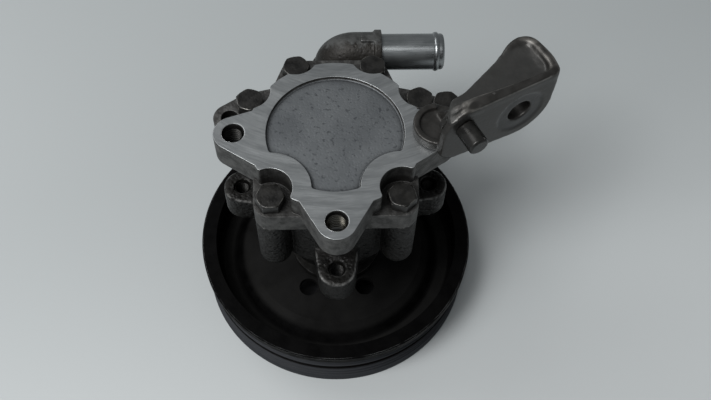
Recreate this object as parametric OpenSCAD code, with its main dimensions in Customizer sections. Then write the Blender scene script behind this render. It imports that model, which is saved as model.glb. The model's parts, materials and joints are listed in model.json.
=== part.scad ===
// Power steering pump: a vane pump with a ribbed belt pulley, a bolted rear cover,
// a suction elbow and a cast support bracket. It stands on the rim of its pulley.
// Millimetres, +Z up along the shaft. The origin is on the shaft axis at the foot of the rim.

/* [Pulley] */
// Outside radius of the upper lip
pulley_r = 72; // [68:0.5:80]
// Height of the rim
rim_h = 32; // [31:0.5:38]
// Thickness of the rim behind the belt grooves
rim_wall = 3.5; // [2.5:0.1:5]
// Number of belt ribs
rib_count = 6; // [4:1:6]
// Distance from rib to rib
rib_pitch = 3.56; // [3:0.02:3.7]
// Depth of the belt grooves
rib_depth = 2.6; // [2:0.1:3]
// Height of the web's underside above the foot of the rim
web_z = 17; // [13:0.5:20]
// Thickness of the pressed web
web_t = 3; // [2.5:0.1:4]
// How far the outer web lies below its raised centre
web_drop = 6; // [4:0.5:8]
// Radius of the raised centre of the web
web_centre_r = 47; // [42:0.5:50]
// Radius where the web's cone ends
web_cone_r = 55; // [53:0.5:58]
// Number of access holes
access_count = 6; // [3:1:6]
// Radius of the circle of access holes
access_circle_r = 30; // [30:0.5:34]
// Radius of an access hole
access_hole_r = 5; // [3:0.25:5]

/* [Hub and shaft] */
// Radius of the hub's flange
hub_flange_r = 24; // [22:0.5:25]
// Thickness of the hub's flange
hub_flange_t = 5; // [4:0.5:7]
// Length of the hub above the web
hub_len = 24.5; // [20:0.5:30]
// Radius of the hub's boss
hub_boss_r = 12.5; // [11:0.25:13.5]
// Radius of the pilot that centres the pulley
pilot_r = 13; // [11:0.25:13.5]
// Number of bolts that hold the pulley
hub_bolt_count = 3; // [3:1:4]
// Circle of the pulley bolts
hub_bolt_circle_r = 18.5; // [18:0.25:19.5]
// Radius of the shaft
shaft_r = 8.5; // [7.5:0.1:9]
// Radius of the shaft's splined end
spline_r = 7.4; // [6.5:0.1:7.5]

/* [Bearing and seal] */
// Outside radius of the ball bearing
bearing_r = 20; // [19:0.25:21]
// Width of the ball bearing
bearing_w = 12; // [11:0.25:14]
// Number of balls
ball_count = 8; // [6:1:8]
// Radius of a ball
ball_r = 3.4; // [3:0.05:3.5]
// Radius of the shaft seal
seal_r = 15; // [13:0.25:17]
// Width of the shaft seal
seal_w = 6; // [5:0.25:8]
// Wall of the shaft bush
bush_wall = 2; // [1.5:0.1:3]
// Length of the shaft bush
bush_len = 7.5; // [6:0.5:12]

/* [Cartridge] */
// Radius of the cartridge cavity
cavity_r = 31; // [30:0.25:32]
// Thickness of the front pressure plate
front_plate_t = 8; // [6:0.5:10]
// Width of the cam ring and the rotor
cam_w = 16; // [12:0.5:20]
// Thickness of the rear plate
rear_plate_t = 3; // [2.5:0.25:5]
// Smallest radius of the cam track
cam_minor_r = 20.6; // [20:0.1:22]
// How much the cam track swells along X
cam_swell = 2.6; // [1.5:0.1:3]
// Gap round the cam ring that feeds the suction ports
gallery = 1; // [0.5:0.1:1.5]
// Radius of the rotor
rotor_r = 19.6; // [19:0.1:19.8]
// Number of vanes
vane_count = 10; // [8:1:10]
// Thickness of a vane
vane_t = 2; // [1.6:0.1:2.4]
// Radial length of a vane
vane_len = 7; // [6:0.25:7.5]
// How far a vane slides into its slot
vane_travel = 2; // [1:0.1:2.2]
// Radius of the dowels that hold the cartridge in line
dowel_r = 2; // [1.5:0.1:2.2]

/* [Housing] */
// Wall of the barrel round the cavity
barrel_wall = 5; // [4:0.25:6]
// Wall of the nose round the bearing
nose_wall = 6.5; // [5:0.25:9]
// Height of a lower lug
lower_lug_h = 16.3; // [12:0.5:20]
// Thickness of the ribs above the lower lugs
lug_rib_t = 5; // [3:0.5:7]
// Radius of the bosses round the cover bolts
boss_r = 7.8; // [7:0.1:8.2]
// Width of the webs between the barrel and the bosses
boss_web_w = 7; // [4:0.5:10]

/* [Rear cover] */
// Height of the flange that takes the bolts
flange_h = 11.6; // [9:0.2:14]
// Height of the raised pad above the flange
pad_h = 12; // [10:0.2:14]
// Radius of the raised pad
pad_r = 39.7; // [38:0.1:41]
// Radius of the sunk field in the pad
recess_r = 31.3; // [28:0.1:33]
// Depth of the sunk field
recess_depth = 1.6; // [1:0.1:4]
// Height of the spigot inside the housing
spigot_h = 5; // [4.5:0.25:7]
// Circle of the three mounting lugs
lug_circle_r = 46; // [45:0.25:48]
// End radius of a lug
lug_end_r = 9; // [8:0.1:9.5]
// Height of a cover lug
lug_h = 14.4; // [12:0.2:16]
// Radius of the notches round the bolt heads
notch_r = 10.2; // [9:0.1:10.4]

/* [Bolts and threads] */
// Nominal diameter of the bolts and the lower lugs' threads
thread_d = 8; // [7:0.5:8]
// Nominal diameter of the cover lugs' threads
cover_thread_d = 10; // [8:0.5:11]
// Width across the flats of the hexagon heads
hex_af = 12; // [11:0.5:12]
// Height of the hexagon heads
hex_h = 5.5; // [4.5:0.25:7]
// Length of a cover bolt in the housing
bolt_grip = 17; // [12:0.5:18]
// Bevel at the mouth of a lug thread
mouth = 0.3; // [0.2:0.1:1.5]

/* [Flow valve] */
// Radius of the valve bore
valve_r = 7.5; // [6.5:0.1:8]
// Wall of the housing round the valve bore
valve_wall = 5; // [4:0.25:6]
// Length of the spool
spool_len = 24; // [20:0.5:28]
// Travel of the spool
spool_travel = 8; // [4:0.5:10]
// Radius of the spring's wire
spring_wire_r = 0.8; // [0.6:0.05:1]
// Turns of the spring
spring_turns = 6; // [4:1:7]
// Radius of the pressure port's thread
port_r = 8; // [7:0.25:9]
// Depth of the pressure port's thread
port_depth = 14; // [10:0.5:16]

/* [Suction elbow] */
// Gap between the elbow's collar and the cover's flange
suction_gap = 2.3; // [1:0.1:6]
// How far the elbow's seat lies below the cover's joint
elbow_drop = 9; // [8:0.5:12]
// Outside radius of the elbow
elbow_r = 10.1; // [9.9:0.1:10.3]
// Radius of the bend's centre line
bend_r = 10.4; // [10.4:0.1:12]
// Outside radius of the hose tube
tube_r = 9.05; // [8:0.05:9.2]
// Wall of the hose tube
tube_wall = 1.5; // [1:0.1:2]
// Reach of the hose tube from the elbow's upright axis
tube_reach = 55.5; // [48:0.5:70]

/* [Support bracket] */
// Turn of the bracket arm away from +X, in degrees
bracket_turn = 27; // [24:0.5:30]
// Thickness of the arm's upright plate
bracket_t = 3.6; // [3:0.1:4.2]
// Length of the arm from the lug's axis
arm_len = 54; // [48:0.5:60]
// Height of the arm's top above the cover
arm_h = 27; // [24:0.5:32]
// Distance of the arm's eye from the arm's end
eye_inset = 19.8; // [18:0.2:24]
// Height of the arm's eye above the cover
eye_z = 8.4; // [6:0.2:10]
// Radius of the eye's hole
eye_hole_r = 5.75; // [4:0.25:6.5]
// Radius of the eye's machined face
eye_face_r = 12; // [9:0.25:13]
// Radius of the locating pin
pin_r = 4.7; // [3:0.1:5]
// How far the locating pin stands out of the plate
pin_reach = 11.5; // [8:0.5:20]
// Height of the locating pin above the cover
pin_h = 15.6; // [14:0.1:17]

/* [Hidden] */
$fn = 64;

// Clearances between pieces that are fastened, that run in each other and that must stay apart
fit = 0.02;
run = 0.04;
free = 0.3;
// Overlap of the forms of one casting, so that they join
weld = 0.5;
// How far a cut runs past a face
past = 1;

// Bolts, threads and sealing rings
thread_r = thread_d / 2;
cover_thread_r = cover_thread_d / 2;
shank_r = thread_r - fit;
bolt_hole_r = thread_r + free;
hex_corner_r = hex_af / 2 / cos(30);
hex_bevel = 0.8;
bolt_turns = [30, 12, 25, 41, 43, 3];
bracket_bolt_turn = 7;
ring_r = 1.2;

// Heights along the shaft, from the pulley up to the cover's face
web_top_z = web_z + web_t;
bearing_z = web_top_z + hub_len;
bearing_mid_z = bearing_z + bearing_w / 2;
nose_lead = 4.5;
nose_z = bearing_z - nose_lead;
seal_gap = 1;
seal_z = bearing_z + bearing_w + seal_gap;
bush_z = seal_z + seal_w + seal_gap / 2;
barrel_floor = 2;
barrel_z = bush_z + barrel_floor;
cavity_z = bush_z + bush_len + seal_gap / 2;
cam_z = cavity_z + front_plate_t;
rear_plate_z = cam_z + cam_w;
cover_spigot_z = rear_plate_z + rear_plate_t;
joint_z = cover_spigot_z + spigot_h;
seat_z = joint_z + flange_h;
cover_z = seat_z + pad_h;
cover_ring_z = joint_z - spigot_h / 2;

// Places in plan
barrel_r = cavity_r + barrel_wall;
nose_r = bearing_r + nose_wall;
rear_bolt_r = 46.9;
side_bolt_r = 46.4;
front_bolt_r = 41.3;
bolt_rear = polar(rear_bolt_r, 67);
bolt_side = polar(side_bolt_r, 30.6);
bolt_front = polar(front_bolt_r, -45);
right_ear_reach = 9;
left_ear_reach = 6.3;
ear_right = polar(lug_circle_r + right_ear_reach, 19.2);
ear_left = polar(lug_circle_r + left_ear_reach, 160.7);
waist_r = 31;
flange_waist = polar(waist_r, 15);
rear_waist_r = 36.5;
rear_waist = polar(rear_waist_r, 49);
bolts = both_sides([bolt_rear, bolt_side, bolt_front]);
lug_turns = [180, 270, 0];
cover_corner_r = 1.5;

// Rim of the pulley
lip_reach = 1.5;
lip_h = 4;
lip_bevel = 0.6;
foot_flange_h = 2.5;
groove_foot = 4.5;
groove_r = pulley_r - lip_reach;
rim_in = groove_r - rib_depth - rim_wall;
groove_shape = [[0, 0.06], [1, 0.44], [1, 0.56], [0, 0.94]];

// Shaft, bearing, retaining ring and rotor clip
edge = 0.8;
shaft_chamfer = 1;
pitch_r = (bearing_r + shaft_r) / 2;
race_gap = 0.1;
race_land = ball_r * 0.55;
ring_t = 1.8;
ring_seat = 1.6;
ring_mouth = 7;
clip_t = 1.2;
clip_sink = 0.6;
clip_wall = 1.6;
clip_bite = 1;
clip_z = rear_plate_z - clip_t / 2 - clip_sink;

// Cartridge
dowel_wall = 1.6;
dowel_circle_r = cavity_r - gallery - dowel_wall - dowel_r;
dowel_foot_z = cam_z - front_plate_t / 2;
kidney_r = 2;
kidney_circle_r = rotor_r - 1;
vane_tip_r = cam_minor_r - free;
slot_foot_r = vane_tip_r - vane_len - vane_travel - free;

// Flow valve, along X behind the barrel
valve_skin = 1;
valve_y = barrel_r + valve_r + valve_skin;
valve_z = barrel_z + valve_r + valve_skin;
valve_half = lug_circle_r - lug_end_r;
port_land = 4;
spool_stop_x = valve_half - port_depth - port_land;
port_way_r = valve_r * 0.6;
spool_x = spool_stop_x - spool_len - free;
spring_seat = 6;
spring_r = valve_r - 2.2;
spring_room = 2 * spring_wire_r * (spring_turns + 1) - spring_seat + past;
plug_r = valve_r + 1.2;
plug_flange_t = 2;
plug_hex_h = 6;
plug_foot_x = spool_x - spool_travel - spring_room;
plug_ring_x = plug_foot_x - 2.5;
spring_z0 = plug_foot_x + fit + spring_wire_r;
spring_z1 = spool_x + spring_seat - fit - spring_wire_r;
spring_steps = 16;
wire_sides = 8;

// Suction elbow, behind the cover's flange
collar_r = elbow_r + 1.1;
collar_w = 3.6;
sleeve_len = 13.6;
sleeve_end_x = bend_r + sleeve_len;
tube_seat = 4;
tube_seat_x = bend_r + tube_seat;
suction_y = bolt_rear[1] + boss_r + collar_r + suction_gap;
elbow_z = joint_z - elbow_drop;
tube_z = elbow_z + bend_r;
suction_boss_r = elbow_r + 1.6;
spigot_r = 7.4;
spigot_depth = 6;
elbow_ring_z = elbow_z - spigot_depth / 2;
elbow_bore_r = tube_r - tube_wall - 1.2;
passage_r = 2.5;
passage_w = 10;
passage_z = elbow_z - spigot_depth - passage_r;

// Support bracket, in a frame at the right-hand lug that is turned along the arm
plate_gap = 0.7;
plate_front = lug_end_r + bracket_t + plate_gap;
plate_left = -6.2;
plate_corner = 3;
plate_skirt = 5;
plate_round_r = 14;
arm_top = cover_z + arm_h;
arm_corner_r = 5;
foot_t = 4;
foot_r = lug_end_r + 2.3;
foot_rim_w = 3;
foot_rim_h = 2;
foot_w = 14;
eye_x = arm_len - eye_inset;
eye_rim = 5;
eye_sink = 0.6;
eye_boss_h = 7;
eye_boss_rim = 1.5;
shelf_t = 3.4;
shelf_sink = 4;
shelf_z = arm_top - shelf_sink - shelf_t;
shelf_end_r = 6.5;
shelf_end = [arm_len - shelf_end_r - past, 5.9];
shelf_waist = 12.4;
shelf_flare = 6;
shelf_flare_end = 14;
shelf_shoulder = 2;
shelf_rim_w = 3.6;
gusset_t = 4;
gusset_x = 3;
gusset_reach = 6;
tab_t = 4;
tab_w = 12;
tab_end_r = norm(ear_right - bolt_side) - hex_corner_r - free;
step_t = 2.2;
step_x = lug_end_r + 2 * free;
lug_right = [lug_circle_r, 0];
tab_reach = norm(ear_right - lug_right);
tab_turn = atan2(ear_right[1] - lug_right[1], ear_right[0] - lug_right[0]);
pin_x = 4.5;
pin_z = cover_z + pin_h;
pin_shank_r = pin_r * 0.8;

function mirrored(points) = [for (p = points) [-p[0], p[1]]];
function polar(r, turn) = r * [cos(turn), sin(turn)];
function both_sides(points) = [for (p = points, s = [1, -1]) [s * p[0], p[1]]];
function vane_name(i) = str("vane_", i < 10 ? "0" : "", i);

module each_at(points) {
    for (p = points) translate([p[0], p[1], 0]) children();
}

module at_lugs() {
    for (turn = lug_turns) rotate(turn) translate([lug_circle_r, 0, 0]) children();
}

module round_bar(z0, z1, r) {
    translate([0, 0, z0]) cylinder(r = r, h = z1 - z0);
}

module tube(z0, z1, r_out, r_in) {
    translate([0, 0, z0]) rotate_extrude() translate([r_in, 0]) square([r_out - r_in, z1 - z0]);
}

module torus(z, r, section_r) {
    translate([0, 0, z]) rotate_extrude() translate([r, 0]) circle(section_r);
}

// A hexagon head with a bevelled upper edge, sitting on z = 0
module hex_head(af, h) {
    corner_r = af / 2 / cos(30);
    intersection() {
        cylinder(r = corner_r, h = h, $fn = 6);
        rotate_extrude() polygon([[0, 0], [corner_r, 0], [corner_r, h - hex_bevel], [af / 2, h], [0, h]]);
    }
}

module hex_bolt(length) {
    hex_head(hex_af, hex_h);
    translate([0, 0, -length]) cylinder(r = shank_r, h = length + weld);
}

// A lug that points along +X from the axis: a round end and two straight flanks
module lug_outline(flank_a, flank_b, depth) {
    // The flanks start just inside the round end, so that each meets it at one clean edge
    start_r = lug_end_r - fit;
    a = lug_right + start_r * [sin(flank_a), cos(flank_a)];
    b = lug_right + start_r * [sin(flank_b), -cos(flank_b)];
    translate(lug_right) circle(lug_end_r);
    polygon([a, a + depth * [-cos(flank_a), sin(flank_a)], b + depth * [-cos(flank_b), -sin(flank_b)], b]);
}

// A tapped hole through a lug, with a bevelled mouth at its upper end
module lug_thread(z0, z1, r) {
    round_bar(z0 - past, z1 + past, r);
    translate([0, 0, z1 - mouth]) cylinder(r1 = r, r2 = r + mouth + fit, h = mouth + fit);
}

// Housing: the dark casting that carries everything

module housing_bosses() {
    foot_h = 5;
    top = joint_z - barrel_z + past;
    for (p = bolts) {
        translate([p[0], p[1], barrel_z]) rotate_extrude()
            polygon([[0, 0], [boss_r - foot_h / 2, 0], [boss_r, foot_h], [boss_r, top], [0, top]]);
        rotate(atan2(p[1], p[0])) translate([barrel_r - weld - past, -boss_web_w / 2, barrel_z + foot_h])
            cube([norm(p) - barrel_r, boss_web_w, top - foot_h]);
    }
}

module lower_lugs() {
    flank = 8;
    lug_top = barrel_z + lower_lug_h;
    rib_foot = lug_circle_r - thread_r - 2;
    for (turn = lug_turns) rotate(turn) {
        translate([0, 0, barrel_z]) linear_extrude(lower_lug_h)
            lug_outline(flank, flank, lug_circle_r - barrel_r + lug_end_r);
        // Upright rib from the lug to the barrel
        translate([0, lug_rib_t / 2, 0]) rotate([90, 0, 0]) linear_extrude(lug_rib_t)
            polygon([[barrel_r - past, lug_top - weld], [rib_foot, lug_top - weld],
                [barrel_r - past, lug_top + lower_lug_h * 0.8]]);
    }
}

module housing_nose() {
    blend = 4;
    rotate_extrude() polygon([[0, nose_z], [nose_r - past, nose_z], [nose_r, nose_z + past],
        [nose_r, barrel_z - blend], [nose_r + blend, barrel_z + weld], [0, barrel_z + weld]]);
}

module valve_axis() {
    translate([0, valve_y, valve_z]) rotate([0, 90, 0]) children();
}

module suction_boss() {
    web_w = 2 * (suction_boss_r - fit);
    translate([0, suction_y, 0]) round_bar(valve_z, elbow_z, suction_boss_r);
    translate([-web_w / 2, barrel_r - 2 * past, valve_z])
        cube([web_w, suction_y - barrel_r + 2 * past, elbow_z - valve_z]);
}

module suction_passage() {
    translate([0, suction_y, 0]) round_bar(passage_z - passage_r, elbow_z + past, spigot_r + fit);
    translate([0, suction_y, passage_z]) rotate([90, 0, 0]) linear_extrude(suction_y - cavity_r + past) {
        square([passage_w - 2 * passage_r, 2 * passage_r], center = true);
        for (s = [1, -1]) translate([s * (passage_w / 2 - passage_r), 0]) circle(passage_r);
    }
}

module pump_housing() {
    color("dimgray") difference() {
        union() {
            round_bar(barrel_z, joint_z + past, barrel_r);
            housing_nose();
            housing_bosses();
            lower_lugs();
            suction_boss();
            valve_axis() round_bar(-valve_half, valve_half, valve_r + valve_wall);
        }
        // Flat joint face for the cover
        round_bar(joint_z, joint_z + 2 * past, 2 * lug_circle_r);
        // Cartridge cavity, bush seat, seal seat and bearing seat on the shaft axis
        round_bar(cavity_z, joint_z + past, cavity_r);
        round_bar(bush_z - past, cavity_z + past, shaft_r + bush_wall + fit);
        round_bar(seal_z - past, seal_z + seal_w + seal_gap / 2, seal_r + fit);
        round_bar(nose_z - past, bearing_z + bearing_w + fit, bearing_r + fit);
        round_bar(bearing_z - ring_t - 2 * fit, bearing_z, bearing_r + ring_seat);
        // Threads for the cover bolts and in the lower lugs
        each_at(bolts) round_bar(joint_z - bolt_grip - past, joint_z + past, thread_r);
        at_lugs() lug_thread(barrel_z, barrel_z + lower_lug_h, thread_r);
        // Valve bore with the plug's thread, the port and the way between them
        valve_axis() {
            round_bar(-valve_half - past, spool_stop_x, valve_r);
            round_bar(spool_stop_x - past, valve_half, port_way_r);
            round_bar(valve_half - port_depth, valve_half + past, port_r);
            round_bar(-valve_half - past, plug_foot_x, plug_r);
        }
        suction_passage();
    }
}

// Rear cover and its fastenings

// The three lugs of the cover; the side lugs spread more towards the front
module cover_lugs_outline() {
    rear_flank = 19;
    front_flank = 33;
    bottom_flank = 30;
    depth = lug_circle_r / 2;
    for (side = [0, 1]) mirror([side, 0]) lug_outline(rear_flank, front_flank, depth);
    rotate(270) lug_outline(bottom_flank, bottom_flank, depth);
}

module pad_outline() {
    offset(r = cover_corner_r) offset(delta = -cover_corner_r) difference() {
        union() {
            circle(pad_r);
            cover_lugs_outline();
        }
        for (p = bolts) translate(p) circle(notch_r);
    }
}

module flange_outline() {
    right = [bolt_rear, rear_waist, bolt_side, ear_right, flange_waist, bolt_front];
    left_front = mirrored([bolt_front, flange_waist]);
    left_rear = mirrored([bolt_side, rear_waist, bolt_rear]);
    offset(r = boss_r) polygon(concat(right, left_front, [ear_left], left_rear));
}

module recess_outline() {
    bolt_margin = notch_r + pad_r - recess_r;
    offset(r = cover_corner_r) offset(delta = -cover_corner_r) difference() {
        circle(recess_r);
        for (p = both_sides([bolt_front])) translate(p) circle(bolt_margin);
    }
}

module rear_cover() {
    color("silver") difference() {
        union() {
            translate([0, 0, joint_z]) linear_extrude(flange_h) flange_outline();
            translate([0, 0, cover_z - lug_h]) linear_extrude(lug_h) pad_outline();
            round_bar(cover_spigot_z, joint_z + weld, cavity_r - fit);
        }
        translate([0, 0, cover_z - recess_depth]) linear_extrude(recess_depth + past) recess_outline();
        each_at(bolts) round_bar(joint_z - past, seat_z + past, bolt_hole_r);
        each_at([ear_right, ear_left]) round_bar(joint_z - past, seat_z + past, thread_r);
        at_lugs() lug_thread(cover_z - lug_h, cover_z, cover_thread_r);
        torus(cover_ring_z, cavity_r, ring_r + fit);
        dowel_holes(cover_spigot_z, joint_z - past - fit);
    }
}

module cover_bolts() {
    color("#3b3530") for (i = [0:len(bolts) - 1]) translate([bolts[i][0], bolts[i][1], seat_z])
        rotate(bolt_turns[i]) hex_bolt(flange_h + bolt_grip - past);
}

module cover_o_ring() {
    color("#202020") intersection() {
        torus(cover_ring_z, cavity_r, ring_r);
        round_bar(cover_spigot_z, joint_z, cavity_r - fit / 2);
    }
}

// Suction elbow and hose tube

module along_tube() {
    translate([0, suction_y, tube_z]) rotate([0, 90, 0]) children();
}

// A quarter bend from upright to +X: one quarter of a torus
module quarter_bend(r) {
    reach = bend_r + r + past;
    translate([bend_r, suction_y, elbow_z]) rotate([90, 0, 0]) intersection() {
        rotate_extrude() translate([bend_r, 0]) circle(r);
        translate([-reach, 0, -reach]) cube([reach, reach, 2 * reach]);
    }
}

module suction_elbow() {
    rib_len = 7;
    rib_w = 4.5;
    color("#5a5854") difference() {
        union() {
            translate([0, suction_y, 0]) round_bar(elbow_z - spigot_depth, elbow_z + weld, spigot_r);
            quarter_bend(elbow_r);
            along_tube() round_bar(bend_r - fit, sleeve_end_x, elbow_r);
            along_tube() round_bar(sleeve_end_x - collar_w, sleeve_end_x, collar_r);
            translate([sleeve_end_x - collar_w - rib_len, suction_y - rib_w / 2, tube_z])
                cube([rib_len + weld, rib_w, collar_r]);
        }
        translate([0, suction_y, 0]) round_bar(elbow_z - spigot_depth - past, elbow_z + fit, elbow_bore_r);
        quarter_bend(elbow_bore_r);
        along_tube() round_bar(bend_r - fit, sleeve_end_x + past, elbow_bore_r);
        along_tube() round_bar(tube_seat_x, sleeve_end_x + past, tube_r + fit);
        translate([0, suction_y, 0]) torus(elbow_ring_z, spigot_r, ring_r / 2 + fit);
    }
}

module suction_tube() {
    bead_x = tube_reach - 4;
    bead_r = 1.6;
    color("#8a8d8e") along_tube() difference() {
        union() {
            round_bar(tube_seat_x, tube_reach - tube_wall, tube_r);
            rotate_extrude() {
                translate([tube_r - bead_r / 2, bead_x]) circle(bead_r);
                translate([tube_r - tube_wall, tube_reach - tube_wall]) circle(tube_wall);
            }
        }
        round_bar(tube_seat_x - past, tube_reach + past, tube_r - tube_wall);
    }
}

module elbow_o_ring() {
    color("#202020") translate([0, suction_y, 0]) intersection() {
        torus(elbow_ring_z, spigot_r, ring_r / 2);
        round_bar(elbow_z - spigot_depth, elbow_z, spigot_r + fit / 2);
    }
}

// Support bracket on the right-hand lug

// Places its children at the right-hand lug, turned along the arm
module at_bracket() {
    translate(lug_right) rotate(bracket_turn) children();
}

// Places its children at the right-hand lug, turned towards the ear
module at_tab() {
    translate(lug_right) rotate(tab_turn) children();
}

// Stands a profile of the arm (x along the arm, y upwards) on the plate's plane
module arm_profile(front, thickness) {
    translate([0, -front + thickness, 0]) rotate([90, 0, 0]) linear_extrude(thickness) children();
}

module arm_plate_outline() {
    round_r = eye_face_r + eye_rim;
    eye_at = [eye_x, cover_z + eye_z];
    translate(eye_at) circle(round_r);
    corner_at = [plate_left, arm_top] + plate_round_r * [1, -1];
    polygon(concat([[plate_left, cover_z], [plate_left + 2 * plate_corner, cover_z - plate_skirt],
        eye_at - [0, round_r], eye_at + [round_r, 0],
        [arm_len, arm_top - plate_corner], [arm_len - plate_corner, arm_top]],
        [for (turn = [90:15:180]) corner_at + polar(plate_round_r, turn)]));
}

module shelf_outline() {
    left = plate_left + plate_corner;
    back = -plate_front + shelf_waist;
    tip_r = shelf_end_r - fit;
    translate(shelf_end) circle(shelf_end_r);
    polygon([[left, -plate_front + weld], [left, -plate_front + bracket_t], [left + shelf_flare, back - past],
        [left + shelf_flare_end, back], shelf_end + [-2 * shelf_end_r, shelf_shoulder],
        shelf_end + polar(tip_r, 111),
        shelf_end + polar(tip_r, 0), [arm_len, -plate_front + arm_corner_r], [arm_len, -plate_front + weld]]);
}

// The raised rim at the outer end of the shelf
module shelf_rim_outline() {
    intersection() {
        shelf_outline();
        translate([arm_len - shelf_rim_w, -plate_front])
            square([shelf_rim_w + past, plate_front + shelf_end[1]]);
    }
}

// What is left outside the rounded upright corner at the arm's end
module arm_corner_outline() {
    difference() {
        translate([arm_len - arm_corner_r, -plate_front - past]) square(arm_corner_r + past);
        translate([arm_len - arm_corner_r, -plate_front + arm_corner_r - free]) circle(arm_corner_r);
    }
}

module foot_rim_outline() {
    intersection() {
        difference() {
            circle(foot_r);
            circle(foot_r - foot_rim_w);
        }
        rotate(180 - bracket_turn) translate([0, -foot_r]) square([foot_r, 2 * foot_r]);
    }
}

module gusset_outline() {
    back = -plate_front + bracket_t - weld;
    top = shelf_z + weld;
    polygon([[cover_z, back], [cover_z, gusset_reach], [cover_z + foot_t, gusset_reach],
        [top, -plate_front + 2 * gusset_t], [top, back]]);
}

module bracket_arm() {
    difference() {
        union() {
            arm_profile(plate_front, bracket_t) arm_plate_outline();
            arm_profile(plate_front - bracket_t + weld, eye_boss_h + weld)
                translate([eye_x, cover_z + eye_z]) circle(eye_face_r - eye_boss_rim);
            translate([0, 0, shelf_z]) linear_extrude(shelf_t) shelf_outline();
            translate([0, 0, shelf_z + shelf_t - weld]) linear_extrude(shelf_sink) shelf_rim_outline();
            translate([gusset_x + gusset_t, 0, 0]) rotate([0, -90, 0])
                linear_extrude(gusset_t) gusset_outline();
        }
        translate([0, 0, cover_z]) linear_extrude(arm_h + past) arm_corner_outline();
    }
}

module bracket_foot() {
    translate([0, 0, cover_z]) linear_extrude(foot_t) {
        circle(foot_r);
        translate([plate_left, -plate_front]) square([foot_w, plate_front]);
    }
    translate([0, 0, cover_z + foot_t - weld]) linear_extrude(foot_rim_h + weld) foot_rim_outline();
}

// Step down from the foot to the tab under the bracket bolt
module bracket_tab() {
    translate([step_x, -tab_w / 2, seat_z]) cube([step_t, tab_w, cover_z + foot_t - seat_z]);
    translate([0, -tab_w / 2, cover_z]) cube([step_x + step_t, tab_w, foot_t]);
    translate([step_x, -tab_w / 2, seat_z]) cube([tab_reach - step_x, tab_w, tab_t]);
    translate([tab_reach, 0, seat_z]) cylinder(r = tab_end_r, h = tab_t);
}

module support_bracket() {
    color("#4a4744") difference() {
        union() {
            at_bracket() bracket_arm();
            at_bracket() bracket_foot();
            at_tab() bracket_tab();
        }
        // Eye with its sunk face, the pin's hole and the hole for the bolt
        at_bracket() {
            arm_profile(plate_front + past, bracket_t + eye_boss_h + 2 * past)
                translate([eye_x, cover_z + eye_z]) circle(eye_hole_r);
            arm_profile(plate_front + past, eye_sink + past)
                translate([eye_x, cover_z + eye_z]) circle(eye_face_r);
            arm_profile(plate_front + past, bracket_t + past)
                translate([pin_x, pin_z]) circle(pin_shank_r + fit);
        }
        translate([ear_right[0], ear_right[1], 0]) round_bar(seat_z - past, cover_z, bolt_hole_r);
    }
}

module bracket_pin() {
    color("#6d6a66") at_bracket() translate([pin_x, -plate_front, pin_z]) rotate([90, 0, 0]) {
        rotate_extrude() polygon([[0, 0], [pin_r, 0], [pin_r, pin_reach - edge], [pin_r - edge, pin_reach],
            [0, pin_reach]]);
        translate([0, 0, -bracket_t]) cylinder(r = pin_shank_r, h = bracket_t + fit);
    }
}

module bracket_bolt() {
    color("#3b3530") translate([ear_right[0], ear_right[1], seat_z + tab_t]) rotate(bracket_bolt_turn)
        hex_bolt(flange_h + tab_t - past);
}

// Pulley, hub and shaft

// The rim's section: lower flange, the V grooves and the upper lip
function rim_line() = concat(
    [[rim_in, 0], [groove_r, 0], [groove_r + lip_bevel, lip_bevel], [groove_r + lip_bevel, foot_flange_h],
        [groove_r, groove_foot - lip_bevel]],
    [for (i = [0:rib_count - 1], p = groove_shape)
        [groove_r - p[0] * rib_depth, groove_foot + rib_pitch * (i + p[1])]],
    [[groove_r, groove_foot + rib_count * rib_pitch + lip_bevel], [pulley_r, rim_h - lip_h],
        [pulley_r, rim_h - lip_bevel], [pulley_r - lip_bevel, rim_h], [rim_in, rim_h]]);

module at_hub_bolts() {
    for (i = [0:hub_bolt_count - 1]) rotate(360 / hub_bolt_count * i + 30)
        translate([hub_bolt_circle_r, 0, 0]) children();
}

module pulley() {
    low_z = web_z - web_drop;
    color("#2b2b2c") difference() {
        rotate_extrude() {
            polygon(rim_line());
            polygon([[pilot_r + fit, web_z], [web_centre_r, web_z], [web_cone_r, low_z],
                [rim_in + weld, low_z], [rim_in + weld, low_z + web_t], [web_cone_r, low_z + web_t],
                [web_centre_r, web_top_z], [pilot_r + fit, web_top_z]]);
        }
        for (i = [0:access_count - 1]) rotate(360 / access_count * i) translate([access_circle_r, 0, 0])
            round_bar(web_z - past, web_top_z + past, access_hole_r);
        at_hub_bolts() round_bar(web_z - past, web_top_z + past, bolt_hole_r);
    }
}

module pulley_hub() {
    pilot_z = web_z + weld;
    flange_z = web_top_z + hub_flange_t;
    neck = 1.5;
    color("#5c5b59") difference() {
        rotate_extrude() polygon([[shaft_r + fit, pilot_z], [pilot_r, pilot_z], [pilot_r, web_top_z],
            [hub_flange_r - edge, web_top_z], [hub_flange_r, web_top_z + edge], [hub_flange_r, flange_z],
            [hub_boss_r + neck, flange_z], [hub_boss_r, flange_z + neck], [hub_boss_r, bearing_z - neck],
            [shaft_r + 2, bearing_z - fit], [shaft_r + fit, bearing_z - fit]]);
        at_hub_bolts() round_bar(web_top_z - past, flange_z + past, thread_r);
    }
}

module pulley_bolts() {
    color("#4a4845") at_hub_bolts() translate([0, 0, web_z]) mirror([0, 0, 1]) hex_bolt(web_t + hub_flange_t);
}

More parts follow.
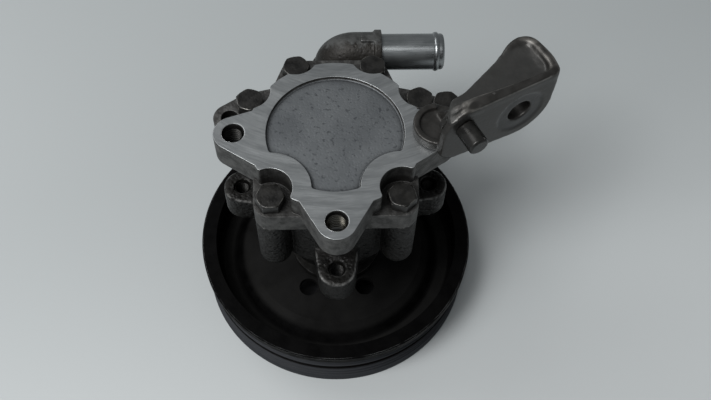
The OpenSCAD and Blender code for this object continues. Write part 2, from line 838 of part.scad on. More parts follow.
module drive_shaft() {
    end_z = cover_spigot_z - past;
    color("#9a9a98") difference() {
        rotate_extrude() polygon([[0, web_z], [shaft_r - shaft_chamfer, web_z],
            [shaft_r, web_z + shaft_chamfer], [shaft_r, cavity_z], [spline_r, cavity_z],
            [spline_r, end_z - shaft_chamfer], [spline_r - shaft_chamfer, end_z], [0, end_z]]);
        tube(clip_z - clip_t / 2 - fit, clip_z + clip_t / 2 + fit, spline_r + past, spline_r - clip_bite);
    }
}

module rotor_clip() {
    mouth_w = 3;
    color("#77756f") difference() {
        tube(clip_z - clip_t / 2, clip_z + clip_t / 2, spline_r + clip_wall, spline_r - clip_bite + 2 * fit);
        translate([0, -mouth_w / 2, clip_z - clip_t]) cube([2 * spline_r, mouth_w, 2 * clip_t]);
    }
}

module shaft_bush() {
    color("#b08d57") tube(bush_z, bush_z + bush_len, shaft_r + bush_wall, shaft_r + run);
}

module shaft_seal() {
    lip = 1.6;
    lip_r = shaft_r + run;
    hollow_h = 1.5 * lip;
    color("#1d1d1e") translate([0, 0, seal_z]) rotate_extrude() difference() {
        polygon([[lip_r, seal_w - lip], [lip_r + lip, seal_w], [seal_r, seal_w], [seal_r, 0],
            [lip_r + lip, 0]]);
        translate([shaft_r + 2 * lip, seal_w - hollow_h])
            square([(seal_r - shaft_r) * 0.35, hollow_h + past]);
    }
}

module retaining_ring() {
    ring_in = 2.2;
    eye_turn = 17;
    eye_r = 0.6;
    color("#77756f") difference() {
        tube(bearing_z - ring_t - fit, bearing_z - fit, bearing_r + ring_seat - fit, bearing_r - ring_in);
        translate([-ring_mouth / 2, 0, bearing_z - 2 * ring_t]) cube([ring_mouth, 2 * bearing_r, 3 * ring_t]);
        for (s = [1, -1]) rotate(90 + s * eye_turn) translate([bearing_r - ring_in / 2, 0, 0])
            round_bar(bearing_z - 2 * ring_t, bearing_z + past, eye_r);
    }
}

module bearing_race(r_out, r_in) {
    difference() {
        tube(bearing_z, bearing_z + bearing_w, r_out, r_in);
        torus(bearing_mid_z, pitch_r, ball_r + race_gap);
    }
}

module bearing_outer_ring() {
    color("#a9a9a6") bearing_race(bearing_r, pitch_r + race_land);
}

module bearing_inner_ring() {
    color("#a9a9a6") bearing_race(pitch_r - race_land, shaft_r + fit);
}

module at_balls() {
    for (i = [0:ball_count - 1]) rotate(360 / ball_count * i)
        translate([pitch_r, 0, bearing_mid_z]) children();
}

module bearing_balls() {
    color("#c8c8c5") at_balls() sphere(ball_r);
}

module bearing_cage() {
    cage_half = ball_r + 0.9;
    cage_t = race_land - 0.45;
    color("#8a7a4a") difference() {
        tube(bearing_mid_z - cage_half, bearing_mid_z + cage_half, pitch_r + cage_t, pitch_r - cage_t);
        at_balls() sphere(ball_r + race_gap);
    }
}

// Pumping cartridge

module at_dowels() {
    for (s = [1, -1]) translate([0, s * dowel_circle_r, 0]) children();
}

module dowel_holes(z0, z1) {
    at_dowels() round_bar(z0 - past, z1 + past, dowel_r + fit);
}

module kidney_ports(z0, z1) {
    for (turn = [45:90:315]) rotate(turn) translate([kidney_circle_r, 0, 0])
        round_bar(z0 - past, z1 + past, kidney_r);
}

module front_plate() {
    color("#7f807e") difference() {
        tube(cavity_z, cam_z, cavity_r - fit, shaft_r + free);
        dowel_holes(dowel_foot_z, cam_z);
        kidney_ports(cavity_z, cam_z);
    }
}

module cam_ring() {
    color("#8b8c89") difference() {
        round_bar(cam_z, rear_plate_z, cavity_r - gallery);
        translate([0, 0, cam_z - past]) linear_extrude(cam_w + 2 * past) {
            for (s = [1, -1]) translate([s * cam_swell, 0]) circle(cam_minor_r);
            square([2 * cam_swell, 2 * cam_minor_r], center = true);
        }
        dowel_holes(cam_z, rear_plate_z);
    }
}

module rear_plate() {
    color("#7f807e") difference() {
        tube(rear_plate_z, cover_spigot_z, cavity_r - fit, spline_r + free);
        dowel_holes(rear_plate_z, cover_spigot_z);
        kidney_ports(rear_plate_z, cover_spigot_z);
    }
}

module dowel_pins() {
    color("#9a9a98") at_dowels() round_bar(dowel_foot_z, joint_z - past - 2 * fit, dowel_r);
}

module rotor() {
    slot_w = vane_t + 2 * run;
    root_r = vane_t * 0.65;
    color("#8f908d") difference() {
        tube(cam_z + run, rear_plate_z - run, rotor_r, spline_r + fit);
        for (i = [1:vane_count]) rotate(vane_turn(i)) {
            translate([slot_foot_r, -slot_w / 2, cam_z - past]) cube([rotor_r, slot_w, cam_w + 2 * past]);
            translate([slot_foot_r + root_r / 2, 0, 0]) round_bar(cam_z - past, rear_plate_z + past, root_r);
        }
        round_bar(clip_z - clip_t / 2 - fit, rear_plate_z + past, spline_r + clip_wall + fit);
    }
}

function vane_turn(number) = 360 / vane_count * (number - 1);

module vane(number) {
    tip_r = vane_t / 2;
    color("#b4b4b0") rotate(vane_turn(number)) translate([0, 0, cam_z + run])
        linear_extrude(cam_w - 2 * run) {
            translate([vane_tip_r - vane_len, -tip_r]) square([vane_len - tip_r, vane_t]);
            translate([vane_tip_r - tip_r, 0]) circle(tip_r);
        }
}

// Flow valve

module valve_spool() {
    waist = 1.6;
    land = spool_len / 4;
    spool_r = valve_r - run;
    color("#a5a5a2") valve_axis() translate([0, 0, spool_x]) difference() {
        rotate_extrude() polygon([[0, 0], [spool_r, 0], [spool_r, land], [spool_r - waist, land + weld],
            [spool_r - waist, spool_len - land - weld], [spool_r, spool_len - land],
            [spool_r, spool_len - edge], [spool_r - edge, spool_len], [0, spool_len]]);
        round_bar(-past, spring_seat, spring_r + spring_wire_r + free);
    }
}

// The spring's helix: a point on it, and the ring of the wire's section there
function coil_point(t) = [spring_r * cos(360 * t), spring_r * sin(360 * t),
    spring_z0 + (spring_z1 - spring_z0) * t / spring_turns];
function wire_ring(t) = [for (k = [0:wire_sides - 1]) let (a = 360 * k / wire_sides, p = coil_point(t))
    p + spring_wire_r * (cos(a) * [cos(360 * t), sin(360 * t), 0] + sin(a) * [0, 0, 1])];

module valve_spring() {
    rings = spring_turns * spring_steps;
    points = [for (i = [0:rings]) each wire_ring(i / spring_steps)];
    sides = [for (i = [0:rings - 1], k = [0:wire_sides - 1])
        let (a = i * wire_sides, n = (k + 1) % wire_sides)
        [a + k, a + n, a + wire_sides + n, a + wire_sides + k]];
    first = [for (k = [wire_sides - 1:-1:0]) k];
    last = [for (k = [0:wire_sides - 1]) rings * wire_sides + k];
    color("#6f6f6c") valve_axis() polyhedron(points, concat(sides, [first, last]));
}

module valve_plug() {
    flange_r = plug_r + 2;
    head_x = -valve_half - plug_flange_t;
    color("#5f5d59") valve_axis() difference() {
        union() {
            round_bar(-valve_half, plug_foot_x, plug_r - fit);
            round_bar(head_x, -valve_half, flange_r);
            translate([0, 0, head_x]) mirror([0, 0, 1]) hex_head(2 * plug_r, plug_hex_h);
        }
        torus(plug_ring_x, plug_r, ring_r + fit);
    }
}

module plug_o_ring() {
    color("#202020") valve_axis() intersection() {
        torus(plug_ring_x, plug_r, ring_r);
        round_bar(-valve_half, plug_foot_x, plug_r - fit / 2);
    }
}

pump_housing();
rear_cover();
cover_bolts();
cover_o_ring();
suction_elbow();
suction_tube();
elbow_o_ring();
support_bracket();
bracket_pin();
bracket_bolt();
pulley();
pulley_hub();
pulley_bolts();
drive_shaft();
shaft_seal();
retaining_ring();
bearing_outer_ring();
bearing_inner_ring();
bearing_balls();
bearing_cage();
shaft_bush();
front_plate();
rear_plate();
cam_ring();
rotor();
rotor_clip();
dowel_pins();
valve_spool();
valve_spring();
valve_plug();
plug_o_ring();
for (i = [1:vane_count]) vane(i);
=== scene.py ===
import json
import math

import bmesh
import bpy
from mathutils import Matrix, Vector


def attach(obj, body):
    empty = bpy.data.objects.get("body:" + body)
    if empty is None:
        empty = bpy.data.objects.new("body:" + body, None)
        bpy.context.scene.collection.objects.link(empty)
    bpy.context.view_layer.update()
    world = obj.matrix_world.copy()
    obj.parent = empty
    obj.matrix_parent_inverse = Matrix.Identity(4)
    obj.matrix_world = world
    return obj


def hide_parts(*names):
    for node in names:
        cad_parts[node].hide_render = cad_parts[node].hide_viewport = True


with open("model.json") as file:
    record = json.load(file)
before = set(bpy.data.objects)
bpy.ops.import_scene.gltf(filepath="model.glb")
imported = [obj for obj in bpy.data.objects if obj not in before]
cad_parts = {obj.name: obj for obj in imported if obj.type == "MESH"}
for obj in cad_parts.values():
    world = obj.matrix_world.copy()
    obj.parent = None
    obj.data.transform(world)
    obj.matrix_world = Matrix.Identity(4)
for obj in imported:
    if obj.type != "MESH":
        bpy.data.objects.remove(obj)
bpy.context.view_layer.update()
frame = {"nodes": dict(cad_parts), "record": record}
nodes = frame["nodes"]
mm = 0.001
print("frame:", len(nodes), "nodes")

# Camera at the photograph's view, worked out for an image 711 pixels wide
cameraSet = {
    "place": (-0.00176, -0.23246, 0.46032),
    "right": (0.9996, -0.0246, 0.0154),
    "up": (0.0134, 0.8606, 0.5091),
    "focalPixels": 900,
    "imageWidth": 711,
    "sensor": 36,
    "clipStart": 0.01,
}


def makeCamera(s):
    data = bpy.data.cameras.new("camera")
    data.sensor_width = s["sensor"]
    data.lens = s["focalPixels"] * s["sensor"] / s["imageWidth"]
    data.clip_start = s["clipStart"]
    cam = bpy.data.objects.new("camera", data)
    right = Vector(s["right"]).normalized()
    up = (Vector(s["up"]) - right * right.dot(Vector(s["up"]))).normalized()
    turn = Matrix((right, up, right.cross(up))).transposed()
    cam.matrix_world = Matrix.Translation(s["place"]) @ turn.to_4x4()
    bpy.context.scene.collection.objects.link(cam)
    bpy.context.scene.camera = cam


makeCamera(cameraSet)
print("camera set")

# Soft studio light: a broad key and two fills from the left, a small lamp above the camera, a grey world
lampAim = (0, 0, 0.08)
lamps = {
    "key": {"place": (-0.9, -0.55, 1.4), "size": 0.8, "watts": 13.5},
    "fill": {"place": (-1.1, 0.8, 1.4), "size": 1.2, "watts": 8.5},
    "front": {"place": (-0.5, -0.4, 1.3), "size": 0.5, "watts": 7.0},
    "glint": {"place": (-0.1, -0.4, 1.3), "size": 0.16, "watts": 1.1},
}
worldColour = (0.2, 0.209, 0.215)


def makeLamp(name, s):
    data = bpy.data.lights.new(name, "AREA")
    data.shape = "DISK"
    data.size = s["size"]
    data.energy = s["watts"]
    lamp = bpy.data.objects.new(name, data)
    turn = (Vector(lampAim) - Vector(s["place"])).to_track_quat("-Z", "Y")
    lamp.matrix_world = Matrix.Translation(s["place"]) @ turn.to_matrix().to_4x4()
    bpy.context.scene.collection.objects.link(lamp)


def makeWorld(colour):
    world = bpy.data.worlds.new("studio")
    world.use_nodes = True
    world.node_tree.nodes["Background"].inputs["Color"].default_value = (*colour, 1)
    bpy.context.scene.world = world


for name, s in lamps.items():
    makeLamp(name, s)
makeWorld(worldColour)
bpy.context.scene.view_settings.view_transform = "Standard"
print("light set")


# Small helpers for node trees
def addNode(tree, kind, **settings):
    node = tree.nodes.new("ShaderNode" + kind)
    for name, value in settings.items():
        setattr(node, name, value)
    return node


def feed(tree, socket, value):
    if isinstance(value, bpy.types.NodeSocket):
        tree.links.new(value, socket)
    else:
        socket.default_value = value


def math2(tree, operation, a, b=0.0, clamp=False):
    node = addNode(tree, "Math", operation=operation, use_clamp=clamp)
    feed(tree, node.inputs[0], a)
    feed(tree, node.inputs[1], b)
    return node.outputs[0]


def product(tree, first, *others):
    for value in others:
        first = math2(tree, "MULTIPLY", first, value)
    return first


def weighted(tree, a, b, shares):
    return math2(tree, "ADD", product(tree, a, shares[0]), product(tree, b, shares[1]))


def inverse(tree, value):
    return math2(tree, "SUBTRACT", 1.0, value)


def ramp(tree, value, low, high, toLow=0.0, toHigh=1.0):
    node = addNode(tree, "MapRange", interpolation_type="SMOOTHSTEP")
    for name, number in (("Value", value), ("From Min", low), ("From Max", high), ("To Min", toLow),
                         ("To Max", toHigh)):
        feed(tree, node.inputs[name], number)
    return node.outputs["Result"]


# The Mix node keeps a pair of inputs and an output for each kind of data
mixSockets = {"RGBA": (6, 7, 2), "FLOAT": (2, 3, 0)}


def mix(tree, kind, factor, a, b):
    first, second, result = mixSockets[kind]
    node = addNode(tree, "Mix", data_type=kind)
    feed(tree, node.inputs["Factor"], factor)
    feed(tree, node.inputs[first], a)
    feed(tree, node.inputs[second], b)
    return node.outputs[result]


def rgba(colour):
    return colour if isinstance(colour, bpy.types.NodeSocket) else (*colour, 1)


def mixColour(tree, factor, a, b):
    return mix(tree, "RGBA", factor, rgba(a), rgba(b))


def mixValue(tree, factor, a, b):
    return mix(tree, "FLOAT", factor, a, b)


def noise(tree, vector, scale, detail=4.0, roughness=0.55):
    node = addNode(tree, "TexNoise")
    feed(tree, node.inputs["Vector"], vector)
    feed(tree, node.inputs["Scale"], scale)
    feed(tree, node.inputs["Detail"], detail)
    feed(tree, node.inputs["Roughness"], roughness)
    return node.outputs["Fac"]


def axes(tree, vector):
    node = addNode(tree, "SeparateXYZ")
    feed(tree, node.inputs[0], vector)
    return node.outputs


def vectorMath(tree, operation, a, b=None, result="Vector"):
    node = addNode(tree, "VectorMath", operation=operation)
    feed(tree, node.inputs[0], a)
    if b is not None:
        feed(tree, node.inputs[1], b)
    return node.outputs[result]


# 1 in the open, and less the more there is within the distance
def openness(tree, distance, samples):
    node = addNode(tree, "AmbientOcclusion", samples=samples)
    feed(tree, node.inputs["Distance"], distance)
    return node.outputs["AO"]


def newGroup(name, inputs, outputs):
    tree = bpy.data.node_groups.new(name, "ShaderNodeTree")
    for label, default in inputs.items():
        kind = "NodeSocketVector" if label == "Vector" else "NodeSocketFloat"
        socket = tree.interface.new_socket(label, in_out="INPUT", socket_type=kind)
        if default is not None:
            socket.default_value = default
    for label in outputs:
        tree.interface.new_socket(label, in_out="OUTPUT", socket_type="NodeSocketFloat")
    return tree, tree.nodes.new("NodeGroupInput").outputs, tree.nodes.new("NodeGroupOutput").inputs


# Grain of a sand casting: small pits and lumps, with a slower mottle
grainSet = {
    "fine": (5.0, 0.62), "coarseScale": 0.28, "coarseDetail": 3.0, "pitScale": 0.75, "pit": (0.05, 0.55),
    "shares": (0.6, 0.4), "mottle": (0.32, 0.68),
}


def castGrainGroup(s):
    tree, given, out = newGroup("castGrain", {"Vector": None, "Scale": 900.0}, ("Height", "Mottle"))
    fine = noise(tree, given["Vector"], given["Scale"], *s["fine"])
    coarse = noise(tree, given["Vector"], product(tree, given["Scale"], s["coarseScale"]), s["coarseDetail"])
    pits = addNode(tree, "TexVoronoi")
    feed(tree, pits.inputs["Vector"], given["Vector"])
    feed(tree, pits.inputs["Scale"], product(tree, given["Scale"], s["pitScale"]))
    pit = ramp(tree, pits.outputs["Distance"], *s["pit"])
    feed(tree, out["Height"], weighted(tree, fine, pit, s["shares"]))
    feed(tree, out["Mottle"], ramp(tree, coarse, *s["mottle"]))
    return tree


# Wear comes off in chips, so its masks are broken up by noise
chipSet = {"noise": (6.0, 0.65), "chips": (0.36, 0.62)}


def chipped(tree, given, mask, s):
    chips = ramp(tree, noise(tree, given["Vector"], given["Break"], *s["noise"]), *s["chips"])
    return math2(tree, "MULTIPLY", product(tree, mask, chips), given["Amount"], clamp=True)


# Wear where the surface turns sharply: compares a rounded normal with the true one
edgeSet = {"samples": 6, "turned": (0.03, 0.22)}


def edgeWearGroup(s):
    tree, given, out = newGroup("edgeWear", {"Vector": None, "Radius": 0.0008, "Amount": 1.0, "Break": 160.0},
                                ("Mask",))
    rounded = addNode(tree, "Bevel", samples=s["samples"])
    feed(tree, rounded.inputs["Radius"], given["Radius"])
    true = addNode(tree, "NewGeometry")
    alike = vectorMath(tree, "DOT_PRODUCT", rounded.outputs["Normal"], true.outputs["Normal"], "Value")
    turned = ramp(tree, inverse(tree, alike), *s["turned"])
    feed(tree, out["Mask"], chipped(tree, given, turned, chipSet))
    return tree


# Wear on the ridges of the dense cast forms
ridgeWidth = 0.04


def ridgeWearGroup(width):
    tree, given, out = newGroup("ridgeWear", {"Vector": None, "Edge": 0.53, "Amount": 1.0, "Break": 160.0},
                                ("Mask",))
    shape = addNode(tree, "NewGeometry")
    ridge = ramp(tree, shape.outputs["Pointiness"], given["Edge"], math2(tree, "ADD", given["Edge"], width))
    feed(tree, out["Mask"], chipped(tree, given, ridge, chipSet))
    return tree


# Grease and dirt that gathers in corners, broken up by noise
grimeSet = {
    "samples": 6, "noise": (6.0, 0.6), "blotch": (0.3, 0.72), "corner": (0.1, 0.75), "least": 0.45, "film": 0.4,
}


def grimeGroup(s):
    tree, given, out = newGroup("grime", {"Vector": None, "Reach": 0.008, "Amount": 1.0, "Scale": 90.0},
                                ("Mask",))
    shut = inverse(tree, openness(tree, given["Reach"], s["samples"]))
    blotch = ramp(tree, noise(tree, given["Vector"], given["Scale"], *s["noise"]), *s["blotch"])
    corner = product(tree, ramp(tree, shut, *s["corner"]), math2(tree, "ADD", blotch, s["least"]))
    most = math2(tree, "MAXIMUM", corner, product(tree, blotch, s["film"]))
    feed(tree, out["Mask"], math2(tree, "MULTIPLY", most, given["Amount"], clamp=True))
    return tree


# Pale dust on what faces upwards
dustSet = {
    "facing": (0.35, 0.95), "noise": (7.0, 0.62), "cloud": (0.34, 0.74), "speckScale": 22.0, "speckDetail": 2.0,
    "specks": (0.6, 0.72), "shares": (0.75, 0.5),
}


def dustGroup(s):
    tree, given, out = newGroup("dust", {"Vector": None, "Amount": 0.5, "Scale": 60.0}, ("Mask",))
    true = addNode(tree, "NewGeometry")
    level = ramp(tree, axes(tree, true.outputs["Normal"])["Z"], *s["facing"])
    cloud = ramp(tree, noise(tree, given["Vector"], given["Scale"], *s["noise"]), *s["cloud"])
    small = noise(tree, given["Vector"], product(tree, given["Scale"], s["speckScale"]), s["speckDetail"])
    both = weighted(tree, cloud, ramp(tree, small, *s["specks"]), s["shares"])
    feed(tree, out["Mask"], math2(tree, "MULTIPLY", product(tree, level, both), given["Amount"], clamp=True))
    return tree


# Fine parallel cutter marks; the vector comes already turned and stretched
cutSet = {
    "fineScale": 2600.0, "fineDetail": 2.0, "wideScale": 420.0, "wideDetail": 3.0,
    "heightShares": (0.6, 0.4), "toneShares": (0.45, 0.55), "tone": (0.34, 0.66),
}


def cutMarksGroup(s):
    tree, given, out = newGroup("cutMarks", {"Vector": None, "Scale": 1.0}, ("Height", "Tone"))
    fine = noise(tree, given["Vector"], product(tree, given["Scale"], s["fineScale"]), s["fineDetail"])
    wide = noise(tree, given["Vector"], product(tree, given["Scale"], s["wideScale"]), s["wideDetail"])
    feed(tree, out["Height"], weighted(tree, fine, wide, s["heightShares"]))
    feed(tree, out["Tone"], ramp(tree, weighted(tree, fine, wide, s["toneShares"]), *s["tone"]))
    return tree


groups = {
    "castGrain": castGrainGroup(grainSet),
    "edgeWear": edgeWearGroup(edgeSet),
    "ridgeWear": ridgeWearGroup(ridgeWidth),
    "grime": grimeGroup(grimeSet),
    "dust": dustGroup(dustSet),
    "cutMarks": cutMarksGroup(cutSet),
}
print("effects:", ", ".join(groups))


def startMaterial(name):
    mat = bpy.data.materials.new(name)
    mat.use_nodes = True
    tree = mat.node_tree
    return mat, tree, tree.nodes["Principled BSDF"], addNode(tree, "TexCoord").outputs["Object"]


def useGroup(tree, name, vector, **values):
    node = tree.nodes.new("ShaderNodeGroup")
    node.node_tree = groups[name]
    feed(tree, node.inputs["Vector"], vector)
    for label, value in values.items():
        feed(tree, node.inputs[label], value)
    return node.outputs


def bump(tree, shader, height, strength, distance):
    node = addNode(tree, "Bump")
    feed(tree, node.inputs["Height"], height)
    feed(tree, node.inputs["Strength"], strength)
    feed(tree, node.inputs["Distance"], distance)
    feed(tree, shader.inputs["Normal"], node.outputs["Normal"])


# One recipe for bare or painted castings: base tone, mottle, grime, dust, patches and worn edges
def castMaterial(name, s):
    mat, tree, shader, where = startMaterial(name)
    grain = useGroup(tree, "castGrain", where, Scale=s["grain"])
    group, how = s["wearBy"]
    wear = useGroup(tree, group, where, Amount=s["wear"], Break=s["wearBreak"], **how)["Mask"]
    grime = useGroup(tree, "grime", where, Reach=s["grimeReach"], Amount=s["grime"], Scale=s["grimeScale"])
    grime = grime["Mask"]
    dust = useGroup(tree, "dust", where, Amount=s["dust"], Scale=s["dustScale"])["Mask"]
    colour = mixColour(tree, grain["Mottle"], s["dark"], s["light"])
    colour = mixColour(tree, grime, colour, s["grimeColour"])
    colour = mixColour(tree, dust, colour, s["dustColour"])
    for patch, tone in s["patches"]:
        colour = mixColour(tree, patch(tree, where), colour, tone)
    if s["wearWhere"]:
        wear = product(tree, wear, s["wearWhere"](tree, where))
    colour = mixColour(tree, wear, colour, s["wearColour"])
    feed(tree, shader.inputs["Base Color"], colour)
    rough = mixValue(tree, grain["Mottle"], *s["rough"])
    rough = mixValue(tree, grime, rough, s["grimeRough"])
    rough = mixValue(tree, dust, rough, s["dustRough"])
    feed(tree, shader.inputs["Roughness"], mixValue(tree, wear, rough, s["wearRough"]))
    metal = mixValue(tree, math2(tree, "MAXIMUM", grime, dust), s["metal"], 0.0)
    feed(tree, shader.inputs["Metallic"], mixValue(tree, wear, metal, s["wearMetal"]))
    shader.inputs["Specular IOR Level"].default_value = s["gloss"]
    bump(tree, shader, grain["Height"], s["bump"], s["bumpDepth"])
    return mat


# Distance from the shaft's axis
def fromAxis(tree, where):
    return vectorMath(tree, "LENGTH", vectorMath(tree, "MULTIPLY", where, (1, 1, 0)), result="Value")


# The belt's dust in the ribs, below the rim's upper lip, broken by one black line of painted shadow
ribZone = {"top": (0.0275, 0.0255), "shadeLineZ": 0.0152, "shadeLine": (0.0008, 0.0018), "inner": (0.0655, 0.0660)}


def ribPatch(tree, where):
    height = axes(tree, where)["Z"]
    fromShadeLine = math2(tree, "ABSOLUTE", math2(tree, "SUBTRACT", height, ribZone["shadeLineZ"]))
    return product(tree, ramp(tree, height, *ribZone["top"]), ramp(tree, fromShadeLine, *ribZone["shadeLine"]),
                   ramp(tree, fromAxis(tree, where), *ribZone["inner"]))


# A film of dust on the pulley's web and on the ring next to the rim, with a black groove between them
webZone = {
    "noise": (38.0, 6.0, 0.6), "film": (0.2, 0.7, 0.3, 1.0), "disc": (0.0525, 0.0495),
    "ringInner": (0.0555, 0.0575), "ringOuter": (0.0630, 0.0615),
}


def webPatch(tree, where):
    film = ramp(tree, noise(tree, where, *webZone["noise"]), *webZone["film"])
    out = fromAxis(tree, where)
    disc = ramp(tree, out, *webZone["disc"])
    ring = product(tree, ramp(tree, out, *webZone["ringInner"]), ramp(tree, out, *webZone["ringOuter"]))
    return product(tree, film, math2(tree, "ADD", disc, ring, clamp=True))


# Only the rim's upper lip is rubbed bright
lipZone = {"foot": (0.0275, 0.0285), "inner": (0.0685, 0.0695)}


def lipMask(tree, where):
    above = ramp(tree, axes(tree, where)["Z"], *lipZone["foot"])
    return product(tree, above, ramp(tree, fromAxis(tree, where), *lipZone["inner"]))


# The faced ring round the bracket's eye
eyeFace = {
    "centre": (0.082238, 0.004211, 0.136), "turn": 27.0,
    "inner": (0.0061, 0.0064), "outer": (0.0122, 0.0118), "depth": (0.0012, 0.0008),
}


def eyePatch(tree, where):
    local = addNode(tree, "Mapping", vector_type="TEXTURE")
    feed(tree, local.inputs["Vector"], where)
    local.inputs["Location"].default_value = eyeFace["centre"]
    local.inputs["Rotation"].default_value = (0, 0, math.radians(eyeFace["turn"]))
    split = axes(tree, local.outputs["Vector"])
    flat = addNode(tree, "CombineXYZ")
    feed(tree, flat.inputs["X"], split["X"])
    feed(tree, flat.inputs["Y"], split["Z"])
    out = vectorMath(tree, "LENGTH", flat.outputs["Vector"], result="Value")
    return product(tree, ramp(tree, out, *eyeFace["inner"]), ramp(tree, out, *eyeFace["outer"]),
                   ramp(tree, split["Y"], *eyeFace["depth"]))


# The bracket's sunk shelf is a lighter tone, and the edges of the rim above it are lighter still: wear with a
# painted highlight
shelfZone = {"top": (0.1522, 0.1512), "foot": (0.1490, 0.1500), "share": 0.75}
rimZone = {"noise": (140.0, 5.0, 0.6), "wornAndHighlit": (0.3, 0.62), "foot": (0.1529, 0.1534), "top": (0.1543, 0.1539)}


def shelfPatch(tree, where):
    height = axes(tree, where)["Z"]
    return product(tree, ramp(tree, height, *shelfZone["top"]), ramp(tree, height, *shelfZone["foot"]),
                   shelfZone["share"])


def rimWearAndHighlight(tree, where):
    height = axes(tree, where)["Z"]
    wornAndHighlit = ramp(tree, noise(tree, where, *rimZone["noise"]), *rimZone["wornAndHighlit"])
    return product(tree, wornAndHighlit, ramp(tree, height, *rimZone["foot"]), ramp(tree, height, *rimZone["top"]))


# Caked grease on the elbow's lower front half, with a ragged edge
elbowGrease = {
    "axis": (0.0, 0.0645, 0.1054), "upwards": (0.0, 0.86, 0.51), "edge": (0.0042, 0.0004),
    "noise": (210.0, 6.0, 0.65), "noiseMiddle": 0.5, "ragged": 0.016,
}


def greasePatch(tree, where):
    offset = vectorMath(tree, "SUBTRACT", where, elbowGrease["axis"])
    height = vectorMath(tree, "DOT_PRODUCT", offset, elbowGrease["upwards"], "Value")
    wander = math2(tree, "SUBTRACT", noise(tree, where, *elbowGrease["noise"]), elbowGrease["noiseMiddle"])
    edge = math2(tree, "ADD", height, product(tree, wander, elbowGrease["ragged"]))
    return ramp(tree, edge, *elbowGrease["edge"])


castBase = {"bumpDepth": 0.0005, "dustRough": 0.9, "wearMetal": 0.9, "wearWhere": None, "patches": []}
housingFinish = {
    **castBase,
    "dark": (0.0038, 0.0037, 0.0034), "light": (0.0085, 0.0083, 0.0077),
    "metal": 0.15, "rough": (0.27, 0.58), "gloss": 0.2,
    "grain": 620.0, "bump": 0.8, "bumpDepth": 0.0009,
    "wear": 0.9, "wearBy": ("ridgeWear", {"Edge": 0.522}), "wearBreak": 170.0,
    "wearColour": (0.38, 0.38, 0.37), "wearRough": 0.3,
    "grime": 0.95, "grimeReach": 0.010, "grimeScale": 95.0,
    "grimeColour": (0.005, 0.0045, 0.004), "grimeRough": 0.5,
    "dust": 0.12, "dustScale": 70.0, "dustColour": (0.05, 0.046, 0.04),
}
elbowFinish = {
    **castBase,
    "dark": (0.036, 0.0378, 0.0373), "light": (0.076, 0.079, 0.078),
    "metal": 0.45, "rough": (0.42, 0.58), "gloss": 0.4,
    "grain": 750.0, "bump": 0.5,
    "wear": 0.6, "wearBy": ("ridgeWear", {"Edge": 0.525}), "wearBreak": 190.0,
    "wearColour": (0.26, 0.265, 0.265), "wearRough": 0.36,
    "grime": 0.85, "grimeReach": 0.010, "grimeScale": 110.0,
    "grimeColour": (0.012, 0.010, 0.008), "grimeRough": 0.55,
    "dust": 0.1, "dustScale": 90.0, "dustColour": (0.09, 0.085, 0.075),
    "patches": [(greasePatch, (0.013, 0.0115, 0.0095))],
}
bracketFinish = {
    **castBase,
    "dark": (0.026, 0.0247, 0.0228), "light": (0.042, 0.0402, 0.0378),
    "metal": 0.55, "rough": (0.30, 0.42), "gloss": 0.5,
    "grain": 700.0, "bump": 0.16,
    "wear": 0.55, "wearBy": ("ridgeWear", {"Edge": 0.53}), "wearBreak": 150.0,
    "wearColour": (0.21, 0.205, 0.20), "wearRough": 0.33,
    "grime": 0.4, "grimeReach": 0.007, "grimeScale": 60.0,
    "grimeColour": (0.012, 0.0118, 0.011), "grimeRough": 0.42,
    "dust": 0.04, "dustScale": 80.0, "dustColour": (0.08, 0.075, 0.065),
    # Patches: the faced eye ring, the lighter shelf, and the rim's wear with a painted highlight
    "patches": [(eyePatch, (0.034, 0.0345, 0.0345)), (shelfPatch, (0.052, 0.052, 0.050)),
                (rimWearAndHighlight, (0.14, 0.134, 0.124))],
}
pulleyFinish = {
    **castBase,
    "dark": (0.0008, 0.0008, 0.0009), "light": (0.0018, 0.0018, 0.0019),
    "metal": 0.0, "rough": (0.42, 0.56), "gloss": 0.035,
    "grain": 520.0, "bump": 0.18, "bumpDepth": 0.0004,
    "wear": 0.9, "wearBy": ("edgeWear", {"Radius": 0.0007}), "wearWhere": lipMask, "wearBreak": 120.0,
    "wearColour": (0.34, 0.35, 0.35), "wearRough": 0.38,
    "grime": 0.5, "grimeReach": 0.012, "grimeScale": 70.0,
    "grimeColour": (0.003, 0.0028, 0.0026), "grimeRough": 0.75,
    "dust": 0.03, "dustScale": 55.0, "dustColour": (0.028, 0.027, 0.025),
    # The rib band's dust leaves one black line of painted shadow
    "patches": [(ribPatch, (0.034, 0.036, 0.040)), (webPatch, (0.010, 0.0099, 0.0097))],
}
boltFinish = {
    **castBase,
    "dark": (0.004, 0.004, 0.0037), "light": (0.011, 0.0108, 0.010),
    "metal": 0.25, "rough": (0.27, 0.46), "gloss": 0.45,
    "grain": 900.0, "bump": 0.35, "bumpDepth": 0.0003,
    "wear": 0.95, "wearBy": ("ridgeWear", {"Edge": 0.52}), "wearBreak": 240.0,
    "wearColour": (0.30, 0.292, 0.275), "wearRough": 0.3,
    "grime": 0.6, "grimeReach": 0.006, "grimeScale": 160.0,
    "grimeColour": (0.008, 0.007, 0.006), "grimeRough": 0.55,
    "dust": 0.1, "dustScale": 150.0, "dustColour": (0.07, 0.062, 0.05),
}
pinFinish = {
    **boltFinish,
    "dark": (0.016, 0.016, 0.0155), "light": (0.030, 0.030, 0.029), "metal": 0.6, "rough": (0.2, 0.3), "bump": 0.1,
}


